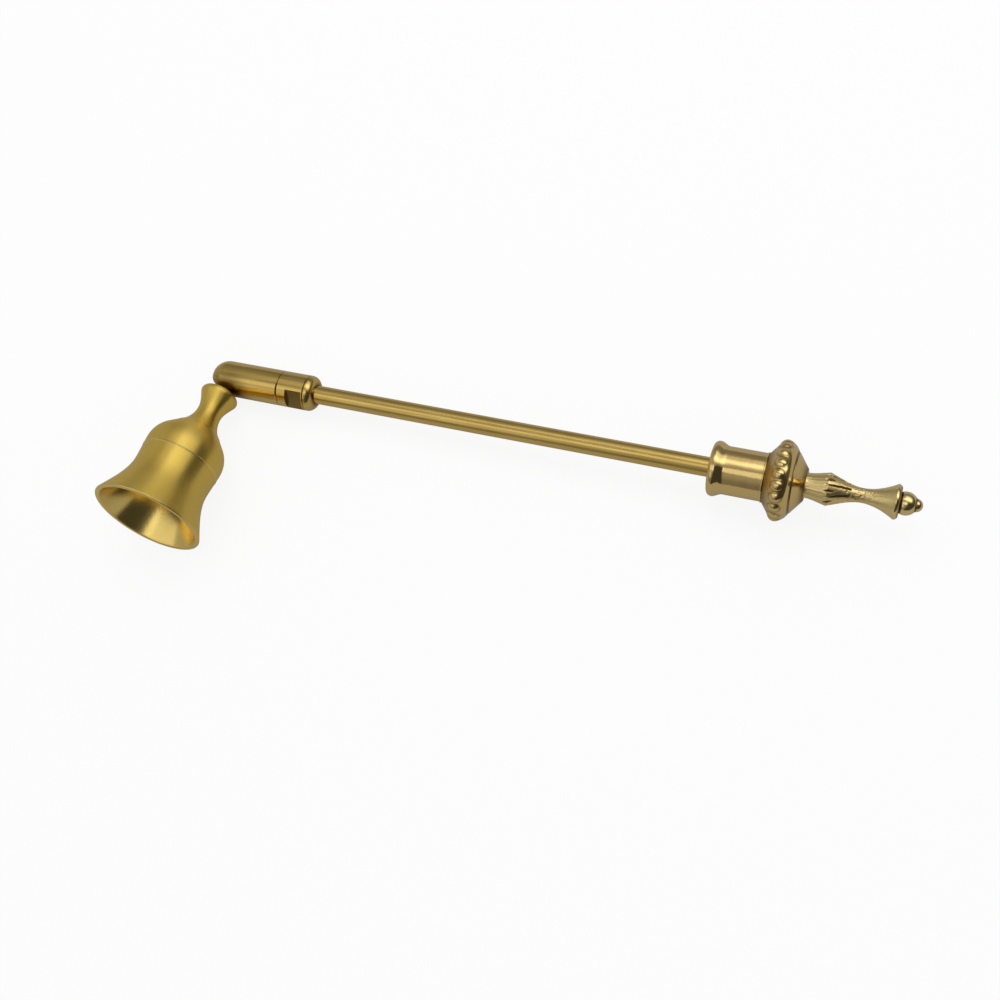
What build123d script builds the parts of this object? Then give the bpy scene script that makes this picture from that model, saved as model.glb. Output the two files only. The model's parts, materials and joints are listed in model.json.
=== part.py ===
from build123d import *
import os
from math import asin, atan2, cos, degrees, hypot, radians, sin, sqrt, tan

# Brass candle snuffer: a turned bell on a ball swivel, a plain rod and a cast handle.
# It lies on a table. +Z is up and the table is at zero, the rod runs along +X and the
# bell's mouth faces -Y. The origin is on the table, under the centre of the swivel.
# Lengths are millimetres and angles are degrees.

# Fits
running_clearance = 0.06    # round the ball, and round the shank in the bell's neck
slot_clearance = 0.15       # each side of the stem in the barrel's slot
cheek_relief = 0.02         # slot cheeks, short of the round ends of the slot
screw_clearance = 0.03      # round screwed and pressed pieces
end_play = 0.05             # bell along its shank, at each end
overrun = 1.0               # cuts run past the face that they leave by this much

# Swivel
barrel_diameter = 10.34
barrel_length = 22.87       # nose to seam
barrel_wall = 1.61          # round the ball
seam_bevel = 0.2            # on both sides of the seam
stem_diameter = 4.0         # in the slot
shank_diameter = 2.8        # in the bell's neck
square_angle = 90.0         # the slot's end, measured from the rod
bell_angle = 93.5           # between rod and bell as it lies
stem_gap = 0.4              # stem to friction cup, when square
disc_thickness = 0.4        # each spring disc
disc_rise = 0.3             # how far each disc is coned
disc_hole_diameter = 3.0

# Tension collar
collar_length = 11.0
collar_round = 2.2
across_flats = 8.0
flat_start = 3.0            # seam to flats
flat_length = 5.2
flat_turn = 62.0            # flats, from straight up towards the mouth
socket_depth = 6.5          # rod in the collar
spigot_length = 6.0         # collar in the barrel

# Rod
rod_diameter = 5.37
rod_span = 116.48           # between collar and ferrule

# Bell, in heights above its mouth
mouth_diameter = 32.0
waist_diameter = 22.58
bulge_diameter = 23.26
neck_diameter = 7.34
neck_top_diameter = 12.8    # before its edge is rounded
waist_height = 14.0
bulge_rise = 8.0            # waist to bulge
shoulder_round = 8.4
shoulder_slope = 43.0
neck_hollow = 9.0
neck_flare_height = 7.61
neck_flare_slope = 25.6
neck_rim_round = 1.3
mouth_slope = 26.0
bell_wall = 1.3
lip_round = 0.3
neck_gap = 0.66             # neck to barrel

# Screw and washer that hold the bell on its shank
washer_diameter = 6.0
washer_thickness = 0.5
washer_margin = 0.2         # flat seat in the crown, past the washer
bell_screw_diameter = 1.6
bell_screw_depth = 5.0
bell_screw_head_diameter = 4.4
bell_screw_head_height = 1.5
bell_screw_head_round = 0.5
driver_slot_width = 0.6
driver_slot_depth = 0.6

# Ferrule
ferrule_length = 14.65
ferrule_diameter = 13.0
ferrule_rim_diameter = 14.95
ferrule_face_diameter = 12.6
ferrule_rim_place = 1.4     # widest, behind the face
ferrule_cove_end = 4.2
ferrule_web = 3.2           # behind the rod's end

# Beaded knop
knop_length = 10.4
knop_diameter = 21.0        # under the beads
knop_rim_place = 4.35
knop_rim_round = 2.8
knop_front_diameter = 13.2
knop_back_diameter = 8.6
bead_count = 20
bead_turn_share = 0.6       # first bead, of the angle between beads
bead_diameter = 3.6
bead_circle_diameter = 18.3
bead_offset = 0.2           # behind the rim

# Finial
finial_length = 29.6
finial_foot_diameter = 6.7
bulb_diameter = 8.8
bulb_place = 5.75
bulb_rise = 0.2             # rise per unit of length before the bulb's crest
bulb_fall = 0.35            # and fall behind it
finial_waist_diameter = 3.9
finial_waist_place = 14.5
trumpet_diameter = 9.3
trumpet_place = 22.85
trumpet_edge = 0.9
trumpet_rise = 0.6          # rise per unit of length at the trumpet's edge
finial_ball_diameter = 6.2
finial_ball_place = 25.3
tip_diameter = 3.6
flute_count = 8
flute_turn_share = 0.5      # first flute, of the angle between flutes
flute_start_share = 0.83    # of the bulb's place
flute_end_share = 0.91      # of the waist's place
flute_start_lift_share = 1.1   # of the bulb's radius
flute_end_lift_share = 1.13    # of the waist's radius
flute_start_width_share = 0.2  # of the bulb's radius
flute_end_width_share = 0.16   # of the waist's radius

# Stud that ties the handle together
tie_diameter = 3.0
tie_in_rod = 8.0
tie_in_finial = 7.5

# A curve's two handles lie a third of its run in from its ends
third_share = 1 / 3

# Radii
barrel_radius = barrel_diameter / 2
stem_radius = stem_diameter / 2
shank_radius = shank_diameter / 2
rod_radius = rod_diameter / 2
tie_radius = tie_diameter / 2
neck_radius = neck_diameter / 2
bulge_radius = bulge_diameter / 2
waist_radius = waist_diameter / 2
washer_radius = washer_diameter / 2
bore_radius = barrel_radius - barrel_wall
ball_radius = bore_radius - running_clearance
spigot_radius = bore_radius - screw_clearance
slot_radius = stem_radius + slot_clearance

# Places along the rod, from the swivel centre
barrel_end = barrel_length - barrel_radius
collar_end = barrel_end + collar_length
rod_start = collar_end - socket_depth
ferrule_start = collar_end + rod_span
knop_start = ferrule_start + ferrule_length
finial_start = knop_start + knop_length
rod_end = knop_start - ferrule_web
knop_rim = knop_start + knop_rim_place

# The bell's outline, from mouth to neck top
bulge_height = waist_height + bulge_rise
slope = radians(shoulder_slope)
straight = bulge_radius - neck_radius - (shoulder_round + neck_hollow) * (1 - cos(slope))
straight_run = straight / tan(slope)
neck_height = bulge_height + (shoulder_round + neck_hollow) * sin(slope) + straight_run
bell_height = neck_height + neck_flare_height
flare = radians(mouth_slope)
mouth_corner = mouth_diameter / 2 + lip_round * (tan(flare) + 1 / cos(flare) - 1)
lip_width = bell_wall / cos(flare)

# Reaches along the bell's axis, from the swivel centre
neck_top = barrel_radius + neck_gap
mouth_reach = neck_top + bell_height
waist_reach = mouth_reach - waist_height
bulge_reach = mouth_reach - bulge_height
neck_reach = mouth_reach - neck_height
washer_seat = washer_radius + washer_margin
crown_round = bulge_radius - bell_wall - washer_seat
crown_reach = bulge_reach - crown_round
shank_end = crown_reach + end_play

# The knop's beads
bead_radius = bead_diameter / 2
bead_circle = bead_circle_diameter / 2
bead_angle = 360 / bead_count
bead_turn = bead_turn_share * bead_angle
bead_place = knop_rim + bead_offset
lowest_share = (bead_count / 2 - bead_turn_share) % 1
lowest_bead = radians(bead_angle * min(lowest_share, 1 - lowest_share))
knop_rim_centre = knop_diameter / 2 - knop_rim_round


def rise_to_rest(reach, radius, rounding):
    """Angle of an axis from the swivel's centre at which a rounded edge round it rests on the table."""
    return atan2(radius, reach) + asin((rounding - barrel_radius) / hypot(reach, radius))


# The barrel's nose lies on the table, with the knop's rim or its lowest bead, and with the bell
rim_rise = rise_to_rest(knop_rim, knop_rim_centre, knop_rim_round)
bead_rise = rise_to_rest(bead_place, bead_circle * cos(lowest_bead), bead_radius)
lean = max(rim_rise, bead_rise)
shoulder_rise = rise_to_rest(bulge_reach, bulge_radius - shoulder_round, shoulder_round)
lip_rise = rise_to_rest(mouth_reach - lip_round, mouth_diameter / 2 - lip_round, lip_round)
bell_z = sin(max(shoulder_rise, lip_rise))
bell_x = (cos(radians(bell_angle)) - bell_z * sin(lean)) / cos(lean)
bell_y = -sqrt(1 - bell_x * bell_x - bell_z * bell_z)

pivot = Vector(0, 0, barrel_radius)
rod_direction = Vector(cos(lean), 0, sin(lean))
bell_direction = Vector(bell_x, bell_y, bell_z)
tilt_axis = rod_direction.cross(bell_direction).normalized()
inward = rod_direction.cross(tilt_axis)
square = radians(square_angle)
stop_direction = rod_direction * cos(square) - inward * sin(square)

rod_axis = Axis(pivot, rod_direction)
bell_axis = Axis(pivot, bell_direction)
rod_plane = Plane(origin=pivot, x_dir=rod_direction, z_dir=(0, -1, 0))
bell_plane = Plane(origin=pivot, x_dir=bell_direction, z_dir=tilt_axis)
slot_plane = Plane(origin=pivot, x_dir=rod_direction, z_dir=tilt_axis)


def across_rod(place):
    """Plane square to the rod at a place along it, its x axis straight up from the table."""
    return Plane(origin=pivot + rod_direction * place, x_dir=rod_plane.y_dir, z_dir=rod_direction)


def ease(start, end, start_slope=0, end_slope=0):
    """Curve between two points, with a given rise per unit of run at each end."""
    run = (end[0] - start[0]) * third_share
    start_handle = (start[0] + run, start[1] + start_slope * run)
    end_handle = (end[0] - run, end[1] - end_slope * run)
    return Bezier(start, start_handle, end_handle, end)


os.makedirs("parts", exist_ok=True)

# Bell: flared mouth, waist, rounded shoulder, hollow neck and a bored crown
neck_bore = shank_radius + running_clearance
straight_start = (neck_reach + neck_hollow * sin(slope), neck_radius + neck_hollow * (1 - cos(slope)))
straight_end = (straight_start[0] + straight_run, straight_start[1] + straight)
neck_edge = (neck_top, neck_top_diameter / 2)
lip_inside = (mouth_reach, mouth_corner - lip_width)
with BuildPart() as bell:
    with BuildSketch(bell_plane) as bell_section:
        with BuildLine():
            Line((neck_top, neck_bore), neck_edge)
            ease(neck_edge, (neck_reach, neck_radius), -tan(radians(neck_flare_slope)))
            CenterArc((neck_reach, neck_radius + neck_hollow), neck_hollow, -90, shoulder_slope)
            Line(straight_start, straight_end)
            CenterArc((bulge_reach, bulge_radius - shoulder_round), shoulder_round, 90, shoulder_slope)
            ease((bulge_reach, bulge_radius), (waist_reach, waist_radius))
            ease((waist_reach, waist_radius), (mouth_reach, mouth_corner), 0, tan(flare))
            Line((mouth_reach, mouth_corner), lip_inside)
            ease((waist_reach, waist_radius - bell_wall), lip_inside, 0, tan(flare))
            ease((bulge_reach, bulge_radius - bell_wall), (waist_reach, waist_radius - bell_wall))
            CenterArc((bulge_reach, washer_seat), crown_round, 90, 90)
            Line((crown_reach, washer_seat), (crown_reach, neck_bore))
            Line((crown_reach, neck_bore), (neck_top, neck_bore))
        make_face()
        fillet(bell_section.vertices().group_by(Axis.X)[-1], lip_round)
        fillet(bell_section.vertices().group_by(Axis.X)[0].sort_by(Axis.Y)[-1], neck_rim_round)
    revolve(axis=bell_axis)
bell.part.label = "bell"
export_step(bell.part, "parts/bell.step")

# Ball stud: the ball in the nose, the stem in the slot and the shank through the bell's neck
stem_start = sqrt(ball_radius * ball_radius - stem_radius * stem_radius)
stem_side = degrees(asin(stem_radius / ball_radius))
stem_end = neck_top - end_play
stud_tap = bell_screw_diameter / 2 + screw_clearance
stud_tap_end = shank_end - bell_screw_depth
with BuildPart() as ball_stud:
    with BuildSketch(bell_plane):
        with BuildLine():
            CenterArc((0, 0), ball_radius, stem_side, 180 - stem_side)
            Polyline(
                (stem_start, stem_radius),
                (stem_end, stem_radius),
                (stem_end, shank_radius),
                (shank_end, shank_radius),
                (shank_end, stud_tap),
                (stud_tap_end, stud_tap),
                (stud_tap_end, 0),
                (-ball_radius, 0),
            )
        make_face()
    revolve(axis=bell_axis)
ball_stud.part.label = "ball_stud"
export_step(ball_stud.part, "parts/ball_stud.step")

# Washer under the bell's screw
with BuildPart() as bell_washer:
    with BuildSketch(Plane(origin=pivot + bell_direction * shank_end, z_dir=bell_direction)):
        Circle(washer_radius)
        Circle(stud_tap, mode=Mode.SUBTRACT)
    extrude(amount=washer_thickness)
bell_washer.part.label = "bell_washer"
export_step(bell_washer.part, "parts/bell_washer.step")

# Slotted screw, up through the washer into the stud's shank
head_start = shank_end + washer_thickness
head_end = head_start + bell_screw_head_height
head_radius = bell_screw_head_diameter / 2
head_top = Plane(origin=pivot + bell_direction * head_end, x_dir=tilt_axis, z_dir=bell_direction)
with BuildPart() as bell_screw:
    with BuildSketch(bell_plane):
        with BuildLine():
            Polyline(
                (stud_tap_end, 0),
                (stud_tap_end, bell_screw_diameter / 2),
                (head_start, bell_screw_diameter / 2),
                (head_start, head_radius),
                (head_end, head_radius),
                (head_end, 0),
                close=True,
            )
        make_face()
    revolve(axis=bell_axis)
    fillet(bell_screw.edges().sort_by(bell_axis)[-1], bell_screw_head_round)
    with BuildSketch(head_top):
        Rectangle(bell_screw_head_diameter + overrun, driver_slot_width)
    extrude(amount=-driver_slot_depth, mode=Mode.SUBTRACT)
bell_screw.part.label = "bell_screw"
export_step(bell_screw.part, "parts/bell_screw.step")

# Swivel barrel: tube with a round nose, a ball seat and a slot for the stem
with BuildPart() as swivel_barrel:
    with BuildSketch(rod_plane):
        with BuildLine():
            CenterArc((0, 0), barrel_radius, 90, 90)
            Polyline(
                (0, barrel_radius),
                (barrel_end - seam_bevel, barrel_radius),
                (barrel_end, barrel_radius - seam_bevel),
                (barrel_end, bore_radius),
                (0, bore_radius),
            )
            CenterArc((0, 0), bore_radius, 90, 90)
            Line((-barrel_radius, 0), (-bore_radius, 0))
        make_face()
    revolve(axis=rod_axis)
    slot_reach = barrel_radius + overrun
    with BuildSketch(slot_plane):
        with BuildLine():
            slot_sweep = CenterArc((0, 0), slot_reach, square_angle, 180 - square_angle)
            Polyline(slot_sweep @ 0, (0, 0), slot_sweep @ 1)
        make_face()
    extrude(amount=slot_radius - cheek_relief, both=True, mode=Mode.SUBTRACT)
    for slot_end in (stop_direction, -rod_direction):
        with BuildSketch(Plane(origin=pivot, z_dir=slot_end)):
            Circle(slot_radius)
        extrude(amount=slot_reach, mode=Mode.SUBTRACT)
swivel_barrel.part.label = "swivel_barrel"
export_step(swivel_barrel.part, "parts/swivel_barrel.step")

# Friction cup: plug with a dish that bears on the ball
cup_start = stem_radius + stem_gap
disc_height = disc_thickness + disc_rise
spigot_start = barrel_end - spigot_length
cup_end = spigot_start - disc_height - disc_height
dish_radius = sqrt(bore_radius * bore_radius - cup_start * cup_start)
dish_side = degrees(atan2(dish_radius, cup_start))
with BuildPart() as friction_cup:
    with BuildSketch(rod_plane):
        with BuildLine():
            CenterArc((0, 0), bore_radius, 0, dish_side)
            Polyline(
                (cup_start, dish_radius),
                (cup_start, spigot_radius),
                (cup_end, spigot_radius),
                (cup_end, 0),
                (bore_radius, 0),
            )
        make_face()
    revolve(axis=rod_axis)
friction_cup.part.label = "friction_cup"
export_step(friction_cup.part, "parts/friction_cup.step")

# Two coned spring discs, back to back, between the cup and the collar's spigot
disc_hole = disc_hole_diameter / 2
with BuildPart() as spring_discs:
    for outer_edge, towards in ((cup_end, 1), (spigot_start, -1)):
        with BuildSketch(rod_plane):
            with BuildLine():
                Polyline(
                    (outer_edge, spigot_radius),
                    (outer_edge + towards * disc_thickness, spigot_radius),
                    (outer_edge + towards * disc_height, disc_hole),
                    (outer_edge + towards * disc_rise, disc_hole),
                    close=True,
                )
            make_face()
        revolve(axis=rod_axis)
spring_discs.part.label = "spring_discs"
export_step(spring_discs.part, "parts/spring_discs.step")

# Tension collar: spigot into the barrel, two spanner flats and the rod's socket
rod_socket = rod_radius + screw_clearance
with BuildPart() as tension_collar:
    with BuildSketch(rod_plane) as collar_section:
        with BuildLine():
            Polyline(
                (spigot_start, 0),
                (spigot_start, spigot_radius),
                (barrel_end, spigot_radius),
                (barrel_end, barrel_radius - seam_bevel),
                (barrel_end + seam_bevel, barrel_radius),
                (collar_end, barrel_radius),
                (collar_end, 0),
                close=True,
            )
        make_face()
        fillet(collar_section.vertices().group_by(Axis.X)[-1].sort_by(Axis.Y)[-1], collar_round)
    revolve(axis=rod_axis)
    with BuildSketch(across_rod(rod_start)):
        Circle(rod_socket)
    extrude(amount=socket_depth + overrun, mode=Mode.SUBTRACT)
    with BuildSketch(across_rod(barrel_end + flat_start).rotated((0, 0, flat_turn))):
        with GridLocations(across_flats + barrel_diameter, 0, 2, 1):
            Rectangle(barrel_diameter, barrel_diameter + overrun)
    extrude(amount=flat_length, mode=Mode.SUBTRACT)
tension_collar.part.label = "tension_collar"
export_step(tension_collar.part, "parts/tension_collar.step")

# Rod, tapped at its handle end
tie_start = rod_end - tie_in_rod
tie_hole = tie_radius + screw_clearance
with BuildPart() as rod:
    with BuildSketch(across_rod(rod_start)):
        Circle(rod_radius)
    extrude(amount=rod_end - rod_start)
    with BuildSketch(across_rod(tie_start)):
        Circle(tie_hole)
    extrude(amount=tie_in_rod + overrun, mode=Mode.SUBTRACT)
rod.part.label = "rod"
export_step(rod.part, "parts/rod.step")

# Ferrule: socket with a flared, rounded rim, over the rod's end
ferrule_rim = ferrule_start + ferrule_rim_place
ferrule_cove = ferrule_start + ferrule_cove_end
ferrule_rim_radius = ferrule_rim_diameter / 2
ferrule_face_radius = ferrule_face_diameter / 2
with BuildPart() as ferrule:
    with BuildSketch(rod_plane):
        with BuildLine():
            Line((ferrule_start, 0), (ferrule_start, ferrule_face_radius))
            EllipticalCenterArc(
                (ferrule_rim, ferrule_face_radius),
                ferrule_rim_place,
                ferrule_rim_radius - ferrule_face_radius,
                start_angle=90,
                arc_size=90,
            )
            ease((ferrule_rim, ferrule_rim_radius), (ferrule_cove, ferrule_diameter / 2))
            Polyline(
                (ferrule_cove, ferrule_diameter / 2),
                (knop_start, ferrule_diameter / 2),
                (knop_start, 0),
                (ferrule_start, 0),
            )
        make_face()
    revolve(axis=rod_axis)
    with BuildSketch(across_rod(rod_end)):
        Circle(rod_socket)
    extrude(amount=-(ferrule_length + overrun), mode=Mode.SUBTRACT)
    with BuildSketch(across_rod(rod_end)):
        Circle(tie_hole)
    extrude(amount=ferrule_web + overrun, mode=Mode.SUBTRACT)
ferrule.part.label = "ferrule"
export_step(ferrule.part, "parts/ferrule.step")

# Beaded knop: two cones meeting at a rounded rim, with a ring of beads on it
with BuildPart(across_rod(bead_place)) as beaded_knop:
    with BuildSketch(rod_plane):
        with BuildLine():
            Polyline(
                (finial_start, knop_back_diameter / 2),
                (finial_start, 0),
                (knop_start, 0),
                (knop_start, knop_front_diameter / 2),
            )
            CenterArc((knop_rim, knop_rim_centre), knop_rim_round, 0, 360)
        make_hull()
    revolve(axis=rod_axis)
    with PolarLocations(bead_circle, bead_count, bead_turn):
        Sphere(bead_radius)
    with BuildSketch(across_rod(knop_start)):
        Circle(tie_hole)
    extrude(amount=knop_length + overrun, mode=Mode.SUBTRACT)
beaded_knop.part.label = "beaded_knop"
export_step(beaded_knop.part, "parts/beaded_knop.step")

# Finial: fluted bulb, waist and trumpet, with a ball and a tip at the end. It is shaped upright,
# from its foot at zero, and then set on the knop.
bulb_radius = bulb_diameter / 2
finial_waist_radius = finial_waist_diameter / 2
trumpet_end = trumpet_place + trumpet_edge
flute_start = bulb_place * flute_start_share
flute_end = finial_waist_place * flute_end_share
flutes = ((flute_start, bulb_radius, flute_start_lift_share, flute_start_width_share),
          (flute_end, finial_waist_radius, flute_end_lift_share, flute_end_width_share))
with BuildPart() as upright_finial:
    with BuildSketch(Plane(origin=(0, 0, 0), x_dir=(0, 0, 1), z_dir=(0, 1, 0))):
        with BuildLine():
            foot = (0, finial_foot_diameter / 2)
            bulb = (bulb_place, bulb_radius)
            waist = (finial_waist_place, finial_waist_radius)
            trumpet = (trumpet_place, trumpet_diameter / 2)
            Line((0, 0), foot)
            ease(foot, bulb, 0, bulb_rise)
            ease(bulb, waist, -bulb_fall)
            ease(waist, trumpet, 0, trumpet_rise)
            Polyline(trumpet, (trumpet_end, finial_ball_diameter / 2), (trumpet_end, 0), (0, 0))
        make_face()
    revolve(axis=Axis.Z)
    for flute in range(flute_count):
        flute_turn = (flute + flute_turn_share) * 360 / flute_count
        for place, radius, lift_share, width_share in flutes:
            with BuildSketch(Plane.XY.offset(place).rotated((0, 0, flute_turn))):
                with Locations((radius * lift_share, 0)):
                    Circle(radius * width_share)
        loft(mode=Mode.SUBTRACT)
    for place, diameter in ((finial_ball_place, finial_ball_diameter),
                            (finial_length - tip_diameter / 2, tip_diameter)):
        with Locations((0, 0, place)):
            Sphere(diameter / 2)
    with BuildSketch(Plane.XY):
        Circle(tie_hole)
    extrude(amount=tie_in_finial, mode=Mode.SUBTRACT)
finial = across_rod(finial_start) * upright_finial.part
finial.label = "finial"
export_step(finial, "parts/finial.step")

# Tie stud: from the rod's end, through ferrule and knop, into the finial
with BuildPart() as tie_stud:
    with BuildSketch(across_rod(tie_start)):
        Circle(tie_radius)
    extrude(amount=finial_start + tie_in_finial - tie_start)
tie_stud.part.label = "tie_stud"
export_step(tie_stud.part, "parts/tie_stud.step")
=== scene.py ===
"""Looks of a brass candle snuffer: a turned bell on a ball swivel, a drawn rod and a cast handle."""

import json
from math import atan2, ceil, cos, exp, hypot, pi, radians, sin, sqrt, tan

import bmesh
import bpy
from mathutils import Matrix, Vector, noise

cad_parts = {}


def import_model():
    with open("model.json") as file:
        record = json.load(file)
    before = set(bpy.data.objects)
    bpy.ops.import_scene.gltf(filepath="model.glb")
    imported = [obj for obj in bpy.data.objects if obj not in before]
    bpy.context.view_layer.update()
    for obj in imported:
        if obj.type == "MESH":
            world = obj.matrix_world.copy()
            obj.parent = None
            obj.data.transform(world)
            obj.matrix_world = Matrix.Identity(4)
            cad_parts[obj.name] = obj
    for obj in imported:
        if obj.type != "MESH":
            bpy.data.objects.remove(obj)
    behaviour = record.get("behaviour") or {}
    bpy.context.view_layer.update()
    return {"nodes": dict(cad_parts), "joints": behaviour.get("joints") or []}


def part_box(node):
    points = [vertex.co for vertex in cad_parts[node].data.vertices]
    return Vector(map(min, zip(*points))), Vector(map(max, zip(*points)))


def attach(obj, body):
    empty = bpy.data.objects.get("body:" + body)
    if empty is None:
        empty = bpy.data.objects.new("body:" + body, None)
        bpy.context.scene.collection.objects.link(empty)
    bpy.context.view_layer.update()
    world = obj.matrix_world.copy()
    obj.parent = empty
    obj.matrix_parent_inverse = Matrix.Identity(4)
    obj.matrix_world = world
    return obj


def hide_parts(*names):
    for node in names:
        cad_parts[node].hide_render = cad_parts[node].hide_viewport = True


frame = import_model()

# Outlines are in millimetres along an axis from the swivel's centre. Angles are degrees.
mm = 0.001
same_point = 0.0001
near_enough = 0.001

# Fineness of the meshes: the longest step along an outline, and the angle of a sharp edge
bell_step = 0.4
collar_step = 0.5
ferrule_step = 1.0
knop_front_step = 0.4
knop_step = 0.13
finial_step = 0.14
sharp_angle = 32.0

# Bell, in heights above its mouth
mouth_radius = 16.0
waist_radius = 11.29
bulge_radius = 11.63
neck_radius = 3.67
neck_top_radius = 6.4
neck_bore_radius = 1.46
waist_height = 14.0
bulge_height = 22.0
neck_height = 37.39
bell_height = 45.0
shoulder_round = 8.4
shoulder_slope = 43.0
neck_hollow = 9.0
neck_flare_slope = 25.6
neck_rim_round = 1.3
mouth_slope = 26.0
bell_wall = 1.3
lip_round = 0.3
crown_seat_radius = 3.2
line_heights = (19.2, 30.5)
line_width = 0.6
line_rise = 0.1
lip_wear_share = 1.5        # of the lip's rounding
lip_wear_facing = 0.3

# Swivel barrel and tension collar
barrel_radius = 5.17
# Painted shade on the barrel round the slot's mouth by the bell's neck: where it is, how wide at full
# strength, how far, how dark
painted_shade_place = 2.0           # behind the swivel's centre
painted_shade_core = 2.0
painted_shade_reach = 9.0
painted_shade_strength = 0.92
collar_round = 2.2
seam_bevel = 0.2
collar_groove_place = 8.6
collar_groove_width = 0.45
collar_groove_depth = 0.25
seam_gap = 0.15
seam_depth = 0.7
collar_spigot_radius = 3.53
rod_socket_radius = 2.715
flat_start = 3.0
flat_length = 5.2
flat_turn = 62.0
half_across_flats = 4.0
flat_bevel = 0.12
flat_limit = 0.2            # smallest cosine of the angle from a flat's middle
# How much darker the flats are, and the painted shade round the rod's socket and its reach
flat_darkening = 0.7
socket_painted_shade = 0.8
socket_painted_shade_reach = 0.7

# Ferrule
ferrule_radius = 6.5
ferrule_rim_radius = 7.475
ferrule_face_radius = 6.3
ferrule_rim_place = 1.4
ferrule_cove_end = 4.2
ferrule_lip = 0.5

# Bore for the tie stud
tie_radius = 1.53
tie_depth = 7.5

# Beaded knop
knop_rim_place = 4.35
knop_radius = 10.5
knop_rim_round = 2.8
knop_front_radius = 6.6
knop_back_radius = 4.3
crease_place = 7.3
crease_width = 0.5
crease_depth = 0.25
bead_count = 20
bead_turn_share = 0.6
bead_radius = 1.8
bead_circle_radius = 9.15
bead_offset = -0.3
bead_blend = 0.24           # how far a bead's foot runs out
bead_swell = 0.072          # how far it stands out there
# Darkening near the corners, in the crease and round each bead, partly patina and partly painted shade
cone_patina_and_shade = 0.75
front_patina_and_shade_reach = 2.0
back_patina_and_shade_reach = 1.3
crease_patina_and_shade = 0.7
ditch_patina_and_shade = 0.5          # round each bead
ditch_outside = 0.25
ditch_on_bead = 0.14
knop_bore_margin = 1.0

# Finial
finial_foot_radius = 3.35
bulb_radius = 4.4
bulb_place = 5.75
bulb_rise = 0.2
bulb_fall = 0.35
finial_waist_radius = 1.95
finial_waist_place = 14.5
trumpet_radius = 4.65
trumpet_place = 22.85
trumpet_edge = 1.1
trumpet_rise = 0.6
trumpet_round = 1.1
finial_ball_radius = 3.1
finial_ball_place = 25.3
finial_tip_radius = 1.75
trumpet_end_angle = -15.0
# Darkening at the trumpet's edge and at the tip's foot, partly patina and partly painted shade
edge_patina_and_shade_reach = 0.35
tip_patina_and_shade_reach = 0.25
leaf_lead = 1.0             # before the bulb
leaf_stop = 2.8             # before the waist
flute_count = 16
flute_turn = 6.0
flute_twist = -11.0
flute_depth = 0.6
flute_width_share = 0.12    # of the angle between flutes, where it starts
flute_growth_share = 0.24
flute_edge_power = 3
flute_wander_share = 0.12
flute_wander_rate = 0.8     # per millimetre
flute_wander_shift = 3.7    # from one flute to the next
flute_start_share = 0.3
flute_end_share = 0.07
scoop_depth = 0.3
scoop_length = 2.8
scoop_growth_share = 0.2
rib_count = 26
rib_depth = 0.05
rib_wander = 1.3
rib_length_share = 1.05     # of the foot
rib_start_share = 0.1
rib_end_share = 0.3
stipple_depth = 0.18
stipple_size = 0.5
stipple_reach = 5.0
stipple_patina = 0.5
finial_bore_margin = 0.2

# Finishes: a colour with its shade, the colour of recesses, which is grime and in places painted shade, and
# the heights of fine marks
satin_colours = ((1.0, 0.71, 0.155), (0.93, 0.645, 0.13))
bored_colours = ((0.96, 0.72, 0.23), (0.90, 0.66, 0.20))
worn_colours = ((0.98, 0.72, 0.22), (0.93, 0.66, 0.18))
drawn_colours = ((0.88, 0.63, 0.20), (0.70, 0.47, 0.12))
inner_colours = ((0.78, 0.56, 0.20), (0.66, 0.45, 0.14))
steel_colours = ((0.56, 0.56, 0.55), (0.46, 0.46, 0.46))
cast_colour = (0.86, 0.62, 0.245)
finial_colour = (0.93, 0.71, 0.31)
turned_grime = (0.20, 0.12, 0.03)
drawn_grime_and_shade = (0.10, 0.06, 0.02)
cast_grime_and_shade = (0.14, 0.08, 0.02)
turned_mark_height = 0.006
drawn_mark_height = 0.009
cast_mark_height = 0.04
inner_mark_height = 0.008
cloud_share = 0.6           # of a turned surface's shade, and grain has the rest
grain_height_share = 3.0    # of the height of its marks
turned_roughening = 0.05
inner_roughening = 0.12
drawn_roughness = (0.18, 0.26)
cast_roughness = 0.1
recess_roughness = 0.42
wear_roughness = 0.33
wear_fade = 1.0

# Studio, in metres. Tilts are from straight up towards the mouth, and turns towards the handle.
floor_half = 3.0
floor_shade = 0.95
floor_reflected_shade = 0.27
floor_glow_shares = {"Is Camera Ray": 0.88, "Is Glossy Ray": 0.2, "Is Transmission Ray": 0.88}
table_light = 0.65
dome_radius = 2.0
dome_sink = 0.02
dome_light = (0.20, 0.36)
dome_light_height_shares = (0.25, 0.9)
bell_end_turns = (-62, -30)
bell_end_light = 0.18
handle_end_turns = (25, 58)
handle_end_share = 0.45
darkest_light = 0.05
lamp_aim = Vector((0.09, -0.01, 0.01))
lamp_tilt = -24.0
lamp_distance = 0.8
lamp_size = (0.9, 0.5)
lamp_power = 2.2

# Panels of the studio: tilts, turns, softness of the edges, and light, below zero where a panel is dark
panels = (
    ((-32, -14), (-24, 52), 9, 0.75),
    ((-54, -6), (-3, 50), 9, 0.7),
    ((9, 31), (-53, 15), 4, 0.5),
    ((9, 27), (0, 15), 3, 0.3),
    ((36, 64), (-45, -12), 7, 0.35),
    ((8, 100), (20, 85), 4, -0.25),
    ((34, 100), (2, 24), 6, -0.15),
)

# Camera, fitted to the photograph, whose frame is a square of this many pixels
frame_width = 1000
focal_pixels = 1301.2
sensor_width = 36.0
camera_place = Vector((181.1, -118.1, 338.5)) * mm
camera_aim = Vector((89.0, -18.0, 0.11)) * mm
camera_up = Vector((-0.2013, 0.9233, 0.3269))


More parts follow.
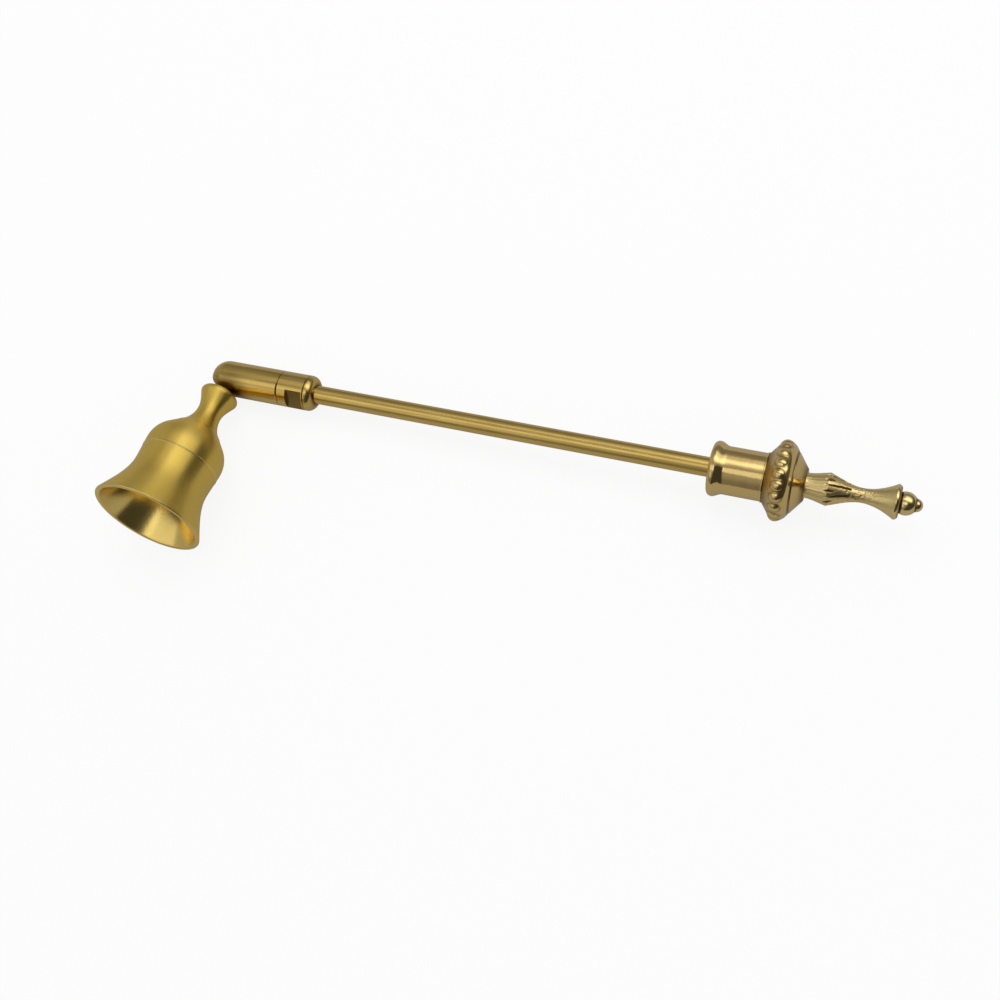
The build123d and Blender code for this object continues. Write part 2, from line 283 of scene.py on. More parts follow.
def joint(name):
    """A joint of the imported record."""
    return next(entry for entry in frame["joints"] if entry["name"] == name)


pivot = Vector(joint("bell_tilt")["pos_m"])
bell_axis = Vector(joint("bell_spin")["axis"]).normalized()
rod_axis = (sum(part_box("rod"), Vector()) / 2 - pivot).normalized()


def reach(node, axis):
    """First and last place of a CAD node along an axis, in millimetres from the swivel's centre."""
    vertices = frame["nodes"][node].data.vertices
    places = [(vertex.co - pivot).dot(axis) / mm for vertex in vertices]
    return min(places), max(places)


def axis_frame(axis):
    """Matrix at the swivel's centre with Z along an axis and X as near to straight up as it goes."""
    up = Vector((0, 0, 1))
    across = (up - axis * up.dot(axis)).normalized()
    matrix = Matrix((across, axis.cross(across), axis)).transposed().to_4x4()
    matrix.translation = pivot
    return matrix


# Outlines
def arc(centre, radius, start, end, step=7.5):
    """Points of an arc about a (place, radius) centre."""
    count = max(2, ceil(abs(end - start) / step))
    angles = [radians(start + (end - start) * i / count) for i in range(count + 1)]
    return [(centre[0] + radius * cos(angle), centre[1] + radius * sin(angle)) for angle in angles]


def ease(start, end, start_slope=0.0, end_slope=0.0, count=32):
    """Points of a curve between two points, with a given rise per unit of run at each end."""
    third = (end[0] - start[0]) / 3
    first_handle = start[1] + start_slope * third
    last_handle = end[1] - end_slope * third
    points = []
    for i in range(count + 1):
        t = i / count
        s = 1 - t
        radius = s**3 * start[1] + 3 * s * s * t * first_handle + 3 * s * t * t * last_handle + t**3 * end[1]
        points.append((start[0] + (end[0] - start[0]) * t, radius))
    return points


def joined(*stretches):
    """One outline from several stretches, without the points that they share."""
    outline = []
    for point in (point for stretch in stretches for point in stretch):
        if not outline or hypot(point[0] - outline[-1][0], point[1] - outline[-1][1]) > same_point:
            outline.append(point)
    return outline


def divided(outline, step):
    """The outline with points added, so that none lie further apart than a step."""
    points = [outline[0]]
    for start, end in zip(outline, outline[1:]):
        count = max(1, ceil(hypot(end[0] - start[0], end[1] - start[1]) / step))
        for i in range(1, count + 1):
            points.append((start[0] + (end[0] - start[0]) * i / count,
                           start[1] + (end[1] - start[1]) * i / count))
    return points


def radius_at(outline, place):
    """Radius of an outline that runs one way, at a place along it."""
    for start, end in zip(outline, outline[1:]):
        if min(start[0], end[0]) <= place <= max(start[0], end[0]) and start[0] != end[0]:
            return start[1] + (end[1] - start[1]) * (place - start[0]) / (end[0] - start[0])
    return outline[-1][1]


def grooved(outline, place, width, depth):
    """The outline, which runs one way, with a fine groove at a place, or a ridge of a depth below zero."""
    way = 1 if outline[-1][0] > outline[0][0] else -1
    edges = [place - way * width / 2, place + way * width / 2]
    before = [point for point in outline if (edges[0] - point[0]) * way > 0]
    after = [point for point in outline if (point[0] - edges[1]) * way > 0]
    bottom = (place, radius_at(outline, place) - depth)
    return before + [(edges[0], radius_at(outline, edges[0])), bottom,
                     (edges[1], radius_at(outline, edges[1]))] + after


# Meshes
def lathe(name, outline, axis, turns=256, shape=None):
    """Piece turned about an axis through the swivel's centre. An outline that starts on the axis also ends
    there, and any other is closed. shape moves each point, and says how deep in a recess it lies."""
    points, recesses, rings = [], [], []
    for place, radius in outline:
        count = turns if radius > 0 else 1
        rings.append(range(len(points), len(points) + count))
        for i in range(count):
            angle = 2 * pi * i / turns
            point = Vector((radius * cos(angle), radius * sin(angle), place))
            point, recess = shape(point) if shape else (point, 0.0)
            points.append(point * mm)
            recesses.append(recess)
    if outline[0][1] > 0:
        rings.append(rings[0])
    faces = []
    for first, second in zip(rings, rings[1:]):
        for i in range(turns):
            corners = (first[i % len(first)], first[(i + 1) % len(first)],
                       second[(i + 1) % len(second)], second[i % len(second)])
            faces.append(list(dict.fromkeys(corners)))
    mesh = bpy.data.meshes.new(name)
    mesh.from_pydata(points, [], faces)
    mesh.attributes.new("recess", "FLOAT", "POINT").data.foreach_set("value", recesses)
    work = bmesh.new()
    work.from_mesh(mesh)
    bmesh.ops.recalc_face_normals(work, faces=work.faces)
    work.to_mesh(mesh)
    work.free()
    mesh.shade_smooth()
    mesh.set_sharp_from_angle(angle=radians(sharp_angle))
    piece = bpy.data.objects.new(name, mesh)
    bpy.context.scene.collection.objects.link(piece)
    piece.matrix_world = axis_frame(axis)
    return piece


def sunk(point, depth):
    """A point in an axis frame, moved towards the axis."""
    share = 1 - depth / hypot(point.x, point.y)
    return Vector((point.x * share, point.y * share, point.z))


def stands_for(piece, node, body, material):
    """Puts a new piece in the place of a CAD node."""
    piece.data.materials.append(material)
    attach(piece, body)
    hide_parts(node)


# Materials
def new_material(name):
    """Material with a principled shader, its tree and that shader."""
    material = bpy.data.materials.new(name)
    material.use_nodes = True
    return material, material.node_tree, material.node_tree.nodes["Principled BSDF"]


def node(tree, kind, inputs=(), **settings):
    """New node with its settings, and a value or a link for each named input."""
    made = tree.nodes.new(kind)
    for key, value in settings.items():
        setattr(made, key, value)
    for key, value in dict(inputs).items():
        if isinstance(value, bpy.types.NodeSocket):
            tree.links.new(value, made.inputs[key])
        else:
            made.inputs[key].default_value = value
    return made


def axis_coordinates(tree, axis=None):
    """Place on a piece, in the frame of its axis. A CAD node needs the axis, and a turned piece has it."""
    place = node(tree, "ShaderNodeTexCoord").outputs["Object"]
    if axis is None:
        return place
    matrix = axis_frame(axis)
    mapping = node(tree, "ShaderNodeMapping", {"Vector": place}, vector_type="TEXTURE")
    mapping.inputs["Location"].default_value = matrix.translation
    mapping.inputs["Rotation"].default_value = matrix.to_euler()
    return mapping.outputs["Vector"]


def drawn_out(tree, place, around, along, detail=3.0):
    """Noise that is stretched round or along the axis: features per radian, and per metre of length."""
    flat = node(tree, "ShaderNodeVectorMath", {0: place, 1: (1, 1, 0)}, operation="MULTIPLY")
    ring = node(tree, "ShaderNodeVectorMath", {0: flat.outputs[0]}, operation="NORMALIZE")
    wide = node(tree, "ShaderNodeVectorMath", {0: ring.outputs[0], "Scale": around}, operation="SCALE")
    length = node(tree, "ShaderNodeVectorMath", {0: place, 1: (0, 0, along)}, operation="MULTIPLY")
    both = node(tree, "ShaderNodeVectorMath", {0: wide.outputs[0], 1: length.outputs[0]}, operation="ADD")
    made = node(tree, "ShaderNodeTexNoise", {"Vector": both.outputs[0], "Scale": 1.0, "Detail": detail})
    return made.outputs["Fac"]


def mottle(tree, place, scale, detail=4.0):
    """Even noise, so many features per metre."""
    made = node(tree, "ShaderNodeTexNoise", {"Vector": place, "Scale": scale, "Detail": detail})
    return made.outputs["Fac"]


def between(tree, factor, low, high):
    """The factor's middle stretch, spread from one number to another."""
    made = node(tree, "ShaderNodeMapRange", {"Value": factor, "From Min": 0.3, "From Max": 0.7,
                                             "To Min": low, "To Max": high})
    return made.outputs["Result"]


def spread(tree, value, first, last, low=0.0, high=1.0):
    """The value's stretch from first to last, eased from low to high."""
    made = node(tree, "ShaderNodeMapRange", {"Value": value, "From Min": first, "From Max": last,
                                             "To Min": low, "To Max": high}, interpolation_type="SMOOTHSTEP")
    return made.outputs["Result"]


def calculated(tree, operation, *values):
    """Output of a sum on numbers or outputs."""
    return node(tree, "ShaderNodeMath", dict(enumerate(values)), operation=operation).outputs[0]


def in_recess(tree):
    """How deep in a recess a turned piece is, from its mesh."""
    return node(tree, "ShaderNodeAttribute", attribute_name="recess").outputs["Fac"]


def tinted(tree, factor, first, second):
    """Colour between two colours or outputs."""
    made = node(tree, "ShaderNodeMix", data_type="RGBA")
    tree.links.new(factor, made.inputs["Factor"])
    for key, colour in (("A", first), ("B", second)):
        if isinstance(colour, bpy.types.NodeSocket):
            tree.links.new(colour, made.inputs[key])
        else:
            made.inputs[key].default_value = (*colour, 1)
    return made.outputs["Result"]


def bumped(tree, height, distance, strength=1.0):
    """Normal that follows a height, in metres at full strength."""
    made = node(tree, "ShaderNodeBump", {"Height": height, "Distance": distance, "Strength": strength})
    return made.outputs["Normal"]


def link(tree, shader, inputs):
    """Links outputs to a shader's named inputs."""
    for key, output in inputs.items():
        tree.links.new(output, shader.inputs[key])


def turned_brass(name, colours, roughness, stretch):
    """Brass with fine marks round the axis, from the lathe, which stretch its highlights along the axis."""
    material, tree, shader = new_material(name)
    place = axis_coordinates(tree)
    marks = drawn_out(tree, place, around=0.8, along=9000.0, detail=2.0)
    cloud = mottle(tree, place, scale=210.0)
    grain = mottle(tree, place, scale=2000.0, detail=1.0)
    clouded = between(tree, cloud, 0.0, cloud_share)
    grained = between(tree, grain, 0.0, 1 - cloud_share)
    clean = tinted(tree, calculated(tree, "ADD", clouded, grained), *colours)
    grain_height = calculated(tree, "MULTIPLY", grain, grain_height_share)
    shader.inputs["Metallic"].default_value = 1.0
    shader.inputs["Anisotropic"].default_value = stretch
    shader.inputs["Anisotropic Rotation"].default_value = 0.25
    tangent = node(tree, "ShaderNodeTangent", direction_type="RADIAL", axis="Z")
    link(tree, shader, {
        "Base Color": tinted(tree, in_recess(tree), clean, turned_grime),
        "Roughness": between(tree, marks, roughness, roughness + turned_roughening),
        "Normal": bumped(tree, calculated(tree, "ADD", marks, grain_height), turned_mark_height * mm),
        "Tangent": tangent.outputs["Tangent"],
    })
    return material


def drawn_brass(name, axis=None, shaded_place=None):
    """Brass bar with fine streaks along its axis, dark in its recesses, or with painted shade near a given
    place instead.
    """
    material, tree, shader = new_material(name)
    place = axis_coordinates(tree, axis)
    streaks = drawn_out(tree, place, around=12.0, along=80.0)
    cloud = mottle(tree, place, scale=260.0)
    grime_and_shade = in_recess(tree)
    if shaded_place is not None:
        away = node(tree, "ShaderNodeVectorMath", {0: axis_coordinates(tree), 1: shaded_place}, operation="DISTANCE")
        # painted shade round the given place, in place of the recesses
        grime_and_shade = spread(tree, away.outputs["Value"], painted_shade_core * mm, painted_shade_reach * mm, painted_shade_strength, 0.0)
    clean = tinted(tree, between(tree, streaks, 0.0, 1.0), *drawn_colours)
    shader.inputs["Metallic"].default_value = 1.0
    link(tree, shader, {
        "Base Color": tinted(tree, grime_and_shade, clean, drawn_grime_and_shade),
        "Roughness": between(tree, cloud, *drawn_roughness),
        "Normal": bumped(tree, streaks, drawn_mark_height * mm),
    })
    return material


def cast_brass(name, colour, wear_end=None):
    """Polished casting, uneven, dull and brown in its recesses, partly from patina and partly as painted
    shade, and rougher up to where its wear ends.
    """
    material, tree, shader = new_material(name)
    place = axis_coordinates(tree)
    uneven = mottle(tree, place, scale=420.0, detail=2.0)
    recess = in_recess(tree)
    shader.inputs["Metallic"].default_value = 1.0
    roughness = cast_roughness
    if wear_end is not None:
        along = node(tree, "ShaderNodeSeparateXYZ", {0: place}).outputs["Z"]
        roughness = spread(tree, along, (wear_end - wear_fade) * mm, wear_end * mm, wear_roughness, roughness)
    rough = node(tree, "ShaderNodeMapRange", {"Value": recess, "To Min": roughness,
                                              "To Max": recess_roughness})
    link(tree, shader, {
        "Base Color": tinted(tree, recess, colour, cast_grime_and_shade),
        "Roughness": rough.outputs["Result"],
        "Normal": bumped(tree, uneven, cast_mark_height * mm),
    })
    return material


def inner_metal(name, colours, roughness):
    """Plain turned metal of the pieces inside."""
    material, tree, shader = new_material(name)
    cloud = mottle(tree, axis_coordinates(tree), scale=900.0)
    shader.inputs["Metallic"].default_value = 1.0
    link(tree, shader, {
        "Base Color": tinted(tree, between(tree, cloud, 0.0, 1.0), *colours),
        "Roughness": between(tree, cloud, roughness, roughness + inner_roughening),
        "Normal": bumped(tree, cloud, inner_mark_height * mm),
    })
    return material


# Pieces
def bell_outline():
    """Closed outline of the bell, from the neck's bore over the outside, the lip and the inside."""
    mouth = reach("bell", bell_axis)[1]
    top = mouth - bell_height
    neck = mouth - neck_height
    bulge = mouth - bulge_height
    waist = mouth - waist_height
    slope = radians(shoulder_slope)
    flare = radians(neck_flare_slope)
    opening = radians(mouth_slope)
    rim_turn = 90 + neck_flare_slope
    rim_run = neck_rim_round * tan(radians(rim_turn / 2))
    rim_centre = (top + neck_rim_round, neck_top_radius - rim_run)
    flare_start = (top + rim_run * cos(flare), neck_top_radius - rim_run * sin(flare))
    hollow_end = (neck + neck_hollow * sin(slope), neck_radius + neck_hollow * (1 - cos(slope)))
    lip_centre = (mouth - lip_round, mouth_radius - lip_round)
    corner = mouth_radius + lip_round * (tan(opening) + 1 / cos(opening) - 1)
    inner_corner = corner - bell_wall / cos(opening)
    inner_lip = (mouth - lip_round, inner_corner + lip_round * tan(radians(45 - mouth_slope / 2)))
    outside = joined(
        ease(flare_start, (neck, neck_radius), -tan(flare)),
        arc((neck, neck_radius + neck_hollow), neck_hollow, -90, shoulder_slope - 90, 3),
        [hollow_end],
        arc((bulge, bulge_radius - shoulder_round), shoulder_round, 90 + shoulder_slope, 90, 3),
        ease((bulge, bulge_radius), (waist, waist_radius)),
        ease((waist, waist_radius), (mouth, corner), 0, tan(opening)),
    )
    outside = [point for point in outside if point[0] < lip_centre[0] - lip_round * sin(opening)]
    for height in line_heights:
        outside = grooved(outside, mouth - height, line_width, -line_rise)
    inner_waist = waist_radius - bell_wall
    inner_bulge = bulge_radius - bell_wall
    crown_round = inner_bulge - crown_seat_radius
    inside = joined(
        ease((mouth, inner_corner), (waist, inner_waist), tan(opening), 0),
        ease((waist, inner_waist), (bulge, inner_bulge)),
        arc((bulge, crown_seat_radius), crown_round, 90, 180, 4),
    )
    inside = [point for point in inside if point[0] < inner_lip[0]]
    return joined(
        [(top, neck_bore_radius)],
        arc(rim_centre, neck_rim_round, 180, 180 - rim_turn),
        outside,
        arc(lip_centre, lip_round, 90 + mouth_slope, 0, 15),
        arc(inner_lip, lip_round, 0, mouth_slope - 90, 15),
        inside,
        [(bulge - crown_round, neck_bore_radius)],
    )


def bell_shell(satin, bored, worn):
    """The bell with its two raised lines: satin outside, smoother inside, bright on the lip and the lines."""
    mouth = reach("bell", bell_axis)[1]
    piece = lathe("bell_shell", divided(bell_outline(), bell_step), bell_axis, turns=288)
    stands_for(piece, "bell", "bell", satin)
    piece.data.materials.append(bored)
    piece.data.materials.append(worn)
    for face in piece.data.polygons:
        inside = face.normal.xy.dot(face.center.xy) < 0
        height = mouth - face.center.z / mm
        on_lip = height < lip_wear_share * lip_round and face.normal.z > lip_wear_facing
        on_line = not inside and any(abs(height - line) < line_width / 2 for line in line_heights)
        face.material_index = 2 if on_lip or on_line else int(inside)


def collar_nut(material):
    """The tension collar, with its two spanner flats."""
    seam = reach("swivel_barrel", rod_axis)[1]
    spigot, end = reach("tension_collar", rod_axis)
    turned = axis_frame(rod_axis).to_3x3()
    radius = max(hypot(*((vertex.co - pivot) @ turned).xy) / mm
                 for vertex in frame["nodes"]["tension_collar"].data.vertices)
    rod_start = reach("rod", rod_axis)[0]
    first, last = seam + flat_start, seam + flat_start + flat_length
    groove = grooved([(last, radius), (end - collar_round, radius)], seam + collar_groove_place,
                     collar_groove_width, collar_groove_depth)
    outline = joined(
        [(spigot, 0), (spigot, collar_spigot_radius), (seam, collar_spigot_radius)],
        [(seam, radius - seam_depth), (seam + seam_gap, radius - seam_depth)],
        [(seam + seam_gap, radius - seam_bevel), (seam + seam_gap + seam_bevel, radius)],
        divided([(first - flat_bevel, radius), (first, radius)], flat_bevel / 3),
        divided([(first, radius), (first + flat_bevel, radius)], flat_bevel / 4),
        divided([(first + flat_bevel, radius), (last - flat_bevel, radius)], collar_step),
        divided([(last - flat_bevel, radius), (last, radius)], flat_bevel / 4),
        groove,
        arc((end - collar_round, radius - collar_round), collar_round, 90, 0, 5),
        [(end, rod_socket_radius), (rod_start, rod_socket_radius), (rod_start, 0)],
    )

    def flats(point):
        away = hypot(point.x, point.y)
        near_seam = point.z < seam + seam_gap + near_enough
        near_groove = abs(point.z - seam - collar_groove_place) < collar_groove_width / 4
        groove_deep = abs(radius - collar_groove_depth - away) < collar_groove_depth / 2
        if near_seam or (near_groove and groove_deep):
            return point, 1.0
        angle = atan2(point.y, point.x) - radians(flat_turn)
        flat_radius = half_across_flats / max(abs(cos(angle)), flat_limit)
        depth = min(point.z - first, last - point.z) / flat_bevel
        cut = max(0.0, away - flat_radius) * min(max(depth, 0.0), 1.0)
        if cut <= 0 or away < radius - near_enough:
            # painted shade round the rod's socket
            return point, socket_painted_shade * exp(-((away - rod_socket_radius) / socket_painted_shade_reach) ** 2)
        # the flats are darker
        return sunk(point, cut), flat_darkening

    piece = lathe("collar_nut", outline, rod_axis, turns=288, shape=flats)
    stands_for(piece, "tension_collar", "handle", material)


def rod_socket(material):
    """The ferrule, with its flared rim and a fine lip against the knop."""
    start, end = reach("ferrule", rod_axis)
    rod_end = reach("rod", rod_axis)[1]
    rim = start + ferrule_rim_place
    cove_end = start + ferrule_cove_end
    rise = ferrule_rim_radius - ferrule_face_radius
    front = [(rim + ferrule_rim_place * run, ferrule_face_radius + rise * up)
             for run, up in arc((0, 0), 1, 180, 90, 6)]
    outline = joined(
        [(start, rod_socket_radius)],
        front,
        ease((rim, ferrule_rim_radius), (cove_end, ferrule_radius)),
        divided([(cove_end, ferrule_radius), (end - ferrule_lip, ferrule_radius)], ferrule_step),
        arc((end - ferrule_lip / 2, ferrule_radius), ferrule_lip / 2, 180, 0, 20),
        [(end, tie_radius), (rod_end, tie_radius), (rod_end, rod_socket_radius)],
    )
    piece = lathe("rod_socket", outline, rod_axis)
    stands_for(piece, "ferrule", "handle", material)


def knop(material):
    """The knop, with a ring of beads on its rim and a crease behind them."""
    start, end = reach("beaded_knop", rod_axis)
    rim_centre = (start + knop_rim_place, knop_radius - knop_rim_round)
    front = (start, knop_front_radius)
    back = (end, knop_back_radius)

    def tangent_angle(point, side):
        run = point[0] - rim_centre[0], point[1] - rim_centre[1]
        away = hypot(*run)
        turn = atan2(sqrt(away * away - knop_rim_round**2), knop_rim_round)
        return (atan2(run[1], run[0]) + side * turn) * 180 / pi

    front_angle = tangent_angle(front, -1) % 360
    back_angle = tangent_angle(back, 1)
    rim = arc(rim_centre, knop_rim_round, front_angle, back_angle, 5)
    cone = grooved([rim[-1], back], start + crease_place, crease_width, crease_depth)
    outline = joined(
        [(start, tie_radius)],
        divided([front, rim[0]], knop_front_step),
        divided(rim + cone, knop_step),
        [(end, tie_radius)],
    )
    centres = []
    for i in range(bead_count):
        angle = 2 * pi * (i + bead_turn_share) / bead_count
        centres.append(Vector((bead_circle_radius * cos(angle), bead_circle_radius * sin(angle),
                               rim_centre[0] + bead_offset)))

    def beads(point):
        radius = hypot(point.x, point.y)
        angle = atan2(point.y, point.x)
        centre = centres[round(angle / (2 * pi) * bead_count - bead_turn_share) % bead_count]
        run = point - centre
        away = run.length
        behind = point.z > centre.z
        corner = knop_back_radius if behind else knop_front_radius
        patina_and_shade_reach = back_patina_and_shade_reach if behind else front_patina_and_shade_reach
        # darker near the corners, in the crease and round each bead: partly patina, partly painted shade
        patina_and_shade = cone_patina_and_shade * exp(-((radius - corner) / patina_and_shade_reach) ** 2)
        if abs(point.z - start - crease_place) < crease_width / 2 and radius > knop_back_radius:
            patina_and_shade = crease_patina_and_shade
        ditch_width = ditch_outside if away > bead_radius else ditch_on_bead
        patina_and_shade = max(patina_and_shade, ditch_patina_and_shade * exp(-((away - bead_radius) / ditch_width) ** 2))
        if away > bead_radius + 2 * bead_blend or radius < tie_radius + knop_bore_margin:
            return point, patina_and_shade
        swell = bead_swell * exp(-((away - bead_radius) / bead_blend) ** 2)
        return centre + run * ((max(away, bead_radius) + swell) / away), patina_and_shade

    piece = lathe("knop", outline, rod_axis, turns=576, shape=beads)
    stands_for(piece, "beaded_knop", "handle", material)


def fluted_finial(material):
    """The finial: ribbed foot, leaf-like flutes after the bulb, stippled waist, trumpet, ball and tip."""
    start, end = reach("finial", rod_axis)
    tie_end = start + tie_depth
    bulb = start + bulb_place
    waist = start + finial_waist_place
    trumpet = start + trumpet_place
    ball = start + finial_ball_place
    tip = end - finial_tip_radius
    edge = trumpet + trumpet_edge
    neck = sqrt(max(finial_ball_radius**2 - (edge - ball) ** 2, 0))
    meet = (tip + ball + (finial_ball_radius**2 - finial_tip_radius**2) / (tip - ball)) / 2
    ball_angles = [atan2(neck, edge - ball) * 180 / pi,
                   atan2(sqrt(finial_ball_radius**2 - (meet - ball) ** 2), meet - ball) * 180 / pi]
    tip_angle = atan2(sqrt(max(finial_tip_radius**2 - (meet - tip) ** 2, 0)), meet - tip) * 180 / pi
    body = joined(
        ease((start, finial_foot_radius), (bulb, bulb_radius), 0, bulb_rise, 60),
        ease((bulb, bulb_radius), (waist, finial_waist_radius), -bulb_fall, 0, 90),
        ease((waist, finial_waist_radius), (trumpet, trumpet_radius), 0, trumpet_rise, 70),
        arc((trumpet, trumpet_radius - trumpet_round), trumpet_round, 90, trumpet_end_angle, 8),
        arc((ball, 0), finial_ball_radius, *ball_angles, 6),
        arc((tip, 0), finial_tip_radius, tip_angle, 0, 8)[:-1],
    )
    outline = joined([(tie_end, 0), (tie_end, tie_radius), (start, tie_radius)], body, [(end, 0)])
    leaf_start = bulb - leaf_lead
    leaf_length = waist - leaf_stop - leaf_start

    def carved(point):
        if hypot(point.x, point.y) < tie_radius + finial_bore_margin:
            return point, 0.0
        if point.z > trumpet:
            # darker at the trumpet's edge and at the tip's foot: partly patina, partly painted shade
            patina_and_shade = exp(-((point.z - edge) / edge_patina_and_shade_reach) ** 2)
            patina_and_shade += exp(-((point.z - meet) / tip_patina_and_shade_reach) ** 2)
            return point, min(patina_and_shade, 1.0)
        angle = atan2(point.y, point.x)
        cut = recess = 0.0
        foot = (point.z - start) / (bulb - start)
        if foot < rib_length_share:
            fade = min(1.0, foot / rib_start_share, (rib_length_share - foot) / rib_end_share)
            rib = 0.5 + 0.5 * cos(rib_count * angle + rib_wander * noise.noise(Vector((0, 0, point.z))))
            cut += rib_depth * max(fade, 0.0) * rib
        run = point.z - leaf_start
        twist = flute_turn + flute_twist * run / leaf_length
        flute = (angle - radians(twist)) / (2 * pi) * flute_count
        index = round(flute)
        scoop = index % 2
        share = run / (scoop_length if scoop else leaf_length)
        if 0 < share < 1:
            drift = Vector((index * flute_wander_shift, 0, point.z * flute_wander_rate))
            wander = flute_wander_share * noise.noise(drift)
            growth = scoop_growth_share * sin(pi * share) if scoop else flute_growth_share * share
            width = flute_width_share + growth
            inside = max(0.0, 1 - abs((flute - index - wander) / width) ** flute_edge_power)
            ends = min(1.0, share / flute_start_share, (1 - share) / flute_end_share)
            cut += (scoop_depth if scoop else flute_depth) * ends * inside
            recess = inside * ends
        grain = exp(-(((point.z - waist) / stipple_reach) ** 2))
        speck = grain * max(0.0, noise.noise(point / stipple_size))
        cut += stipple_depth * speck
        recess = max(recess, stipple_patina * speck)
        return sunk(point, cut), recess

    piece = lathe("fluted_finial", divided(outline, finial_step), rod_axis, turns=400, shape=carved)
    stands_for(piece, "finial", "handle", material)


def finish_cad_nodes():
    """Materials of the CAD nodes that stay."""
    # the barrel gets painted shade round the mouth of the swivel's slot
    slot_mouth = pivot + (bell_axis * barrel_radius + rod_axis * painted_shade_place) * mm
    bar = drawn_brass("drawn_brass_bar", rod_axis, slot_mouth)
    inner = inner_metal("inner_brass", inner_colours, roughness=0.24)
    steel = inner_metal("spring_steel", steel_colours, roughness=0.28)
    for names, material in ((("swivel_barrel", "rod"), bar),
                            (("ball_stud", "bell_washer", "bell_screw", "friction_cup", "tie_stud"), inner),
                            (("spring_discs",), steel)):
        for name in names:
            materials = frame["nodes"][name].data.materials
            materials.clear()
            materials.append(material)


# Stage
def stage_object(name, mesh, material):
    """Object that isn't part of the snuffer."""
    mesh.materials.append(material)
    made = bpy.data.objects.new(name, mesh)
    bpy.context.scene.collection.objects.link(made)
    return made


def floor():
    """White table, which keeps a soft shadow and shows grey in the brass."""
    mesh = bpy.data.meshes.new("floor")
    corners = [(x * floor_half, y * floor_half, 0) for x, y in ((-1, -1), (1, -1), (1, 1), (-1, 1))]
    mesh.from_pydata(corners, [], [(0, 1, 2, 3)])
    material, tree, shader = new_material("floor_white")
    path = node(tree, "ShaderNodeLightPath")
    shader.inputs["Roughness"].default_value = 0.9
    shader.inputs["Specular IOR Level"].default_value = 0.0
    base = tinted(tree, path.outputs["Is Glossy Ray"], [floor_shade] * 3, [floor_reflected_shade] * 3)
    link(tree, shader, {"Base Color": base})
    white = node(tree, "ShaderNodeEmission", {"Color": (1, 1, 1, 1), "Strength": 1.0})
    share = 0.0
    for ray, shown in floor_glow_shares.items():
        share = calculated(tree, "MULTIPLY_ADD", path.outputs[ray], shown, share)
    mix = node(tree, "ShaderNodeMixShader", {0: share, 1: shader.outputs[0], 2: white.outputs[0]})
    tree.links.new(mix.outputs[0], tree.nodes["Material Output"].inputs["Surface"])
    stage_object("floor", mesh, material)


def dome_mesh():
    """Half sphere over the table, sunk a little below it."""
    mesh = bpy.data.meshes.new("studio_dome")
    work = bmesh.new()
    bmesh.ops.create_uvsphere(work, u_segments=64, v_segments=32, radius=dome_radius)
    bmesh.ops.bisect_plane(work, geom=work.verts[:] + work.edges[:] + work.faces[:],
                           plane_co=(0, 0, -dome_sink), plane_no=(0, 0, 1), clear_inner=True)
    work.to_mesh(mesh)
    work.free()
    mesh.shade_smooth()
    return mesh


def dome():
    """Studio that shows only in reflections: lighter at the bell's end, with soft panels overhead."""
    material = bpy.data.materials.new("studio_light")
    material.use_nodes = True
    tree = material.node_tree
    tree.nodes.remove(tree.nodes["Principled BSDF"])
    place = node(tree, "ShaderNodeTexCoord").outputs["Object"]
    axes = node(tree, "ShaderNodeSeparateXYZ", {0: place}).outputs
    tilt = calculated(tree, "ARCTAN2", calculated(tree, "MULTIPLY", axes["Y"], -1.0), axes["Z"])
    turn = calculated(tree, "ARCSINE", calculated(tree, "DIVIDE", axes["X"], dome_radius))
    low, high = (share * dome_radius for share in dome_light_height_shares)
    level = spread(tree, axes["Z"], low, high, *dome_light)
    bell_end = spread(tree, turn, *map(radians, bell_end_turns), bell_end_light, 0.0)
    handle_end = spread(tree, turn, *map(radians, handle_end_turns), 1.0, handle_end_share)
    level = calculated(tree, "MULTIPLY", calculated(tree, "ADD", level, bell_end), handle_end)
    for tilts, turns, softness, light in panels:
        inside = light
        for angle, (first, last) in ((tilt, tilts), (turn, turns)):
            for edge, before, after in ((first, 0.0, 1.0), (last, 1.0, 0.0)):
                fade = spread(tree, angle, radians(edge - softness), radians(edge + softness), before, after)
                inside = calculated(tree, "MULTIPLY", inside, fade)
        level = calculated(tree, "ADD", level, inside)
    glow = node(tree, "ShaderNodeEmission", {"Strength": calculated(tree, "MAXIMUM", level, darkest_light)})
    tree.links.new(glow.outputs[0], tree.nodes["Material Output"].inputs["Surface"])
    made = stage_object("studio_dome", dome_mesh(), material)
    made.visible_camera = False
    made.visible_diffuse = False
    made.visible_shadow = False
    made.visible_transmission = False


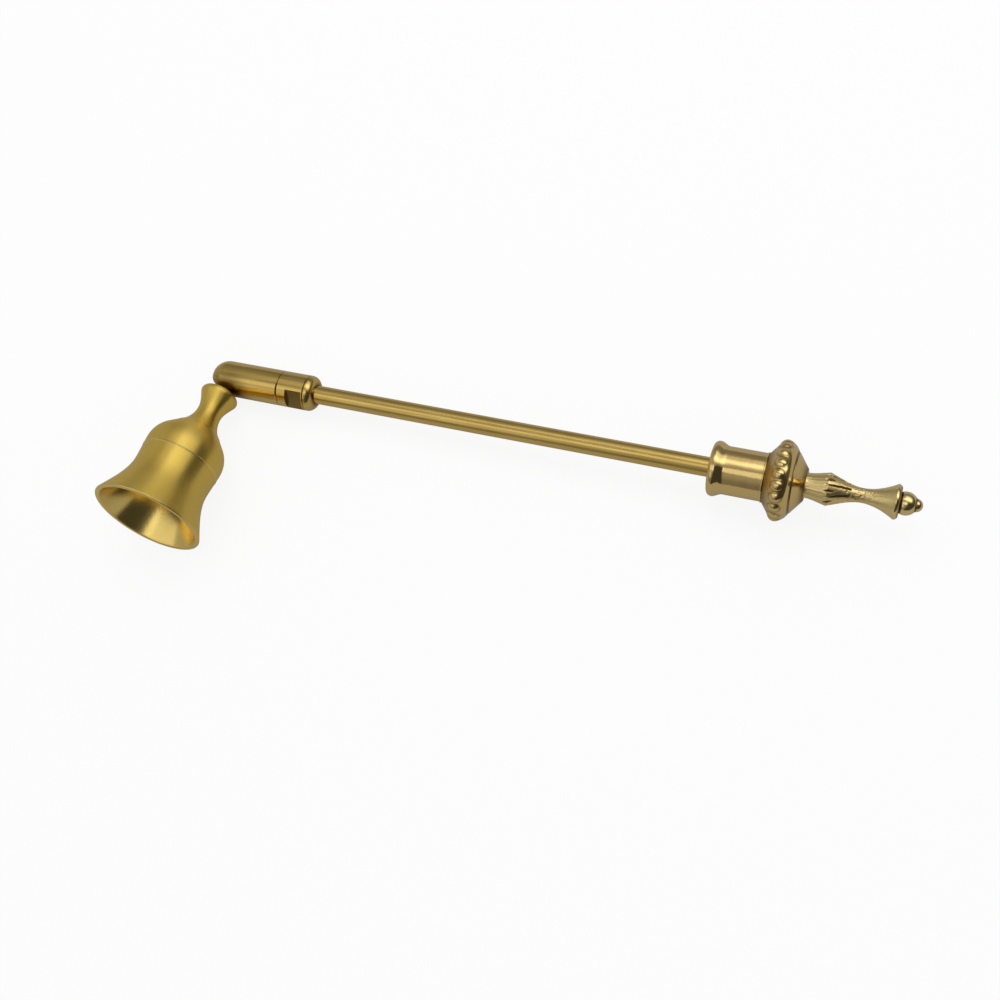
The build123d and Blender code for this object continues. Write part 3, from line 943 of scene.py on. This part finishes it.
def softbox():
    """Area lamp over the table's far side, for a soft shadow. It doesn't show in the brass."""
    data = bpy.data.lights.new("softbox_far", "AREA")
    data.shape = "RECTANGLE"
    data.size, data.size_y = lamp_size
    data.energy = lamp_power
    made = bpy.data.objects.new("softbox_far", data)
    bpy.context.scene.collection.objects.link(made)
    direction = Vector((0, -sin(radians(lamp_tilt)), cos(radians(lamp_tilt))))
    across = direction.cross(Vector((1, 0, 0))).normalized()
    matrix = Matrix((across.cross(direction), across, direction)).transposed().to_4x4()
    matrix.translation = lamp_aim + direction * lamp_distance
    made.matrix_world = matrix
    made.visible_glossy = False


def world():
    """White surroundings, with less light on the table than they show."""
    made = bpy.data.worlds.new("studio")
    bpy.context.scene.world = made
    made.use_nodes = True
    tree = made.node_tree
    diffuse = node(tree, "ShaderNodeLightPath").outputs["Is Diffuse Ray"]
    level = node(tree, "ShaderNodeMapRange", {"Value": diffuse, "To Min": 1.0, "To Max": table_light})
    tree.links.new(level.outputs["Result"], tree.nodes["Background"].inputs["Strength"])
    tree.nodes["Background"].inputs["Color"].default_value = (1, 1, 1, 1)


def camera():
    """Camera where the photograph was taken from."""
    data = bpy.data.cameras.new("camera")
    data.sensor_width = sensor_width
    data.lens = focal_pixels * sensor_width / frame_width
    data.clip_start = 0.01
    made = bpy.data.objects.new("camera", data)
    bpy.context.scene.collection.objects.link(made)
    forward = (camera_aim - camera_place).normalized()
    right = forward.cross(camera_up).normalized()
    matrix = Matrix((right, right.cross(forward), -forward)).transposed().to_4x4()
    matrix.translation = camera_place
    made.matrix_world = matrix
    bpy.context.scene.camera = made


cast = cast_brass("cast_brass", cast_colour)
bell_shell(turned_brass("satin_brass", satin_colours, roughness=0.36, stretch=0.92),
           turned_brass("bored_brass", bored_colours, roughness=0.19, stretch=0.4),
           turned_brass("worn_brass", worn_colours, roughness=0.25, stretch=0.3))
collar_nut(drawn_brass("drawn_brass_collar"))
rod_socket(cast)
knop(cast)
fluted_finial(cast_brass("finial_brass", finial_colour, reach("finial", rod_axis)[0] + trumpet_place))
finish_cad_nodes()
floor()
dome()
softbox()
world()
camera()
bpy.context.scene.view_settings.view_transform = "Standard"
